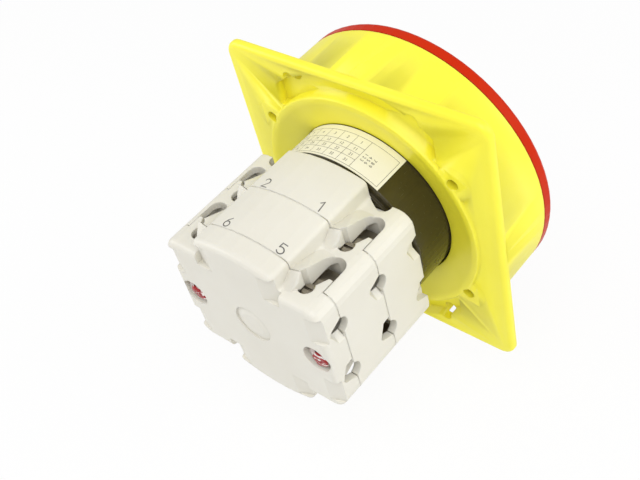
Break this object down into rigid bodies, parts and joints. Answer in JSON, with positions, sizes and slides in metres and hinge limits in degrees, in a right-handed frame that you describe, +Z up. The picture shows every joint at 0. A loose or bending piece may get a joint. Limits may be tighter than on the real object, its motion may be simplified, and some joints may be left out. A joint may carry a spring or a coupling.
{
  "type": "cam switch",
  "caption": "Panel-mounted cam switch with a red turning handle on a yellow drum and square plate, a latch housing and stacked contact cells behind.",
  "frame": {"origin": "on the shaft axis in the plane of the collar's crest, which sits on the panel", "axes": "+Y along the shaft from the handle to the end plate, into the panel; +Z up; +X to the operator's right"},
  "size_m": [0.0972, 0.0922, 0.0972],
  "materials": {
    "yellow_plastic": "smooth moulded plastic, slightly glossy",
    "red_plastic": "smooth moulded plastic, slightly glossy",
    "black_plastic": "glossy olive black moulded plastic",
    "ivory_plastic": "fine satin moulded plastic",
    "label_paper": "printed film, matt",
    "zinc_steel": "zinc plated steel",
    "contact_brass": "tinned brass, dull",
    "dark_nylon": "dark moulded nylon",
    "lacquered_steel": "steel under red sealing lacquer, glossy"
  },
  "bodies": {
    "housing": {"front_plate": "yellow_plastic", "latch_housing": "black_plastic", "latch_cover": "black_plastic", "plate_screw_1": "zinc_steel", "plate_screw_2": "zinc_steel", "plate_screw_3": "zinc_steel", "plate_screw_4": "zinc_steel", "latch_roller_upper": "zinc_steel", "latch_roller_lower": "zinc_steel", "latch_spring_upper": "zinc_steel", "latch_spring_lower": "zinc_steel", "rating_label": "label_paper", "contact_cell_1": "ivory_plastic", "contact_cell_2": "ivory_plastic", "end_plate": "ivory_plastic", "through_bolt_left": "lacquered_steel", "through_bolt_right": "lacquered_steel", "terminal_1": "contact_brass", "terminal_2": "contact_brass", "terminal_3": "contact_brass", "terminal_4": "contact_brass", "terminal_5": "contact_brass", "terminal_6": "contact_brass", "clamp_1": "zinc_steel", "clamp_2": "zinc_steel", "clamp_3": "zinc_steel", "clamp_4": "zinc_steel", "clamp_5": "zinc_steel", "clamp_6": "zinc_steel", "terminal_screw_1": "zinc_steel", "terminal_screw_2": "zinc_steel", "terminal_screw_3": "zinc_steel", "terminal_screw_4": "zinc_steel", "terminal_screw_5": "zinc_steel", "terminal_screw_6": "zinc_steel"},
    "rotor": {"handle": "red_plastic", "handle_screw": "zinc_steel", "handle_cap": "red_plastic", "shaft": "zinc_steel", "latch_star": "dark_nylon", "cam_1": "dark_nylon", "cam_2": "dark_nylon"},
    "contact_12": {"plunger_12": "dark_nylon", "bridge_12": "contact_brass", "contact_spring_12": "zinc_steel"},
    "contact_34": {"plunger_34": "dark_nylon", "bridge_34": "contact_brass", "contact_spring_34": "zinc_steel"},
    "contact_56": {"plunger_56": "dark_nylon", "bridge_56": "contact_brass", "contact_spring_56": "zinc_steel"}
  },
  "joints": [
    {"name": "handle_turn", "type": "hinge", "parent": "housing", "child": "rotor", "pos_m": [0, 0, 0], "axis": [0, 1, 0], "range_deg": [0, 90]},
    {"name": "contact_12_slide", "type": "slide", "parent": "housing", "child": "contact_12", "axis": [0, 0, 1], "range_m": [-0.002, 0], "deforming": ["contact_spring_12"]},
    {"name": "contact_34_slide", "type": "slide", "parent": "housing", "child": "contact_34", "axis": [0, 0, 1], "range_m": [0, 0.002], "deforming": ["contact_spring_34"]},
    {"name": "contact_56_slide", "type": "slide", "parent": "housing", "child": "contact_56", "axis": [0, 0, 1], "range_m": [-0.002, 0], "deforming": ["contact_spring_56"]}
  ],
  "couplings": [
    {"joint": "contact_12_slide", "follows": "handle_turn", "m_per_rad": -0.0012732},
    {"joint": "contact_34_slide", "follows": "handle_turn", "m_per_rad": 0.0012732},
    {"joint": "contact_56_slide", "follows": "handle_turn", "m_per_rad": -0.0012732}
  ]
}
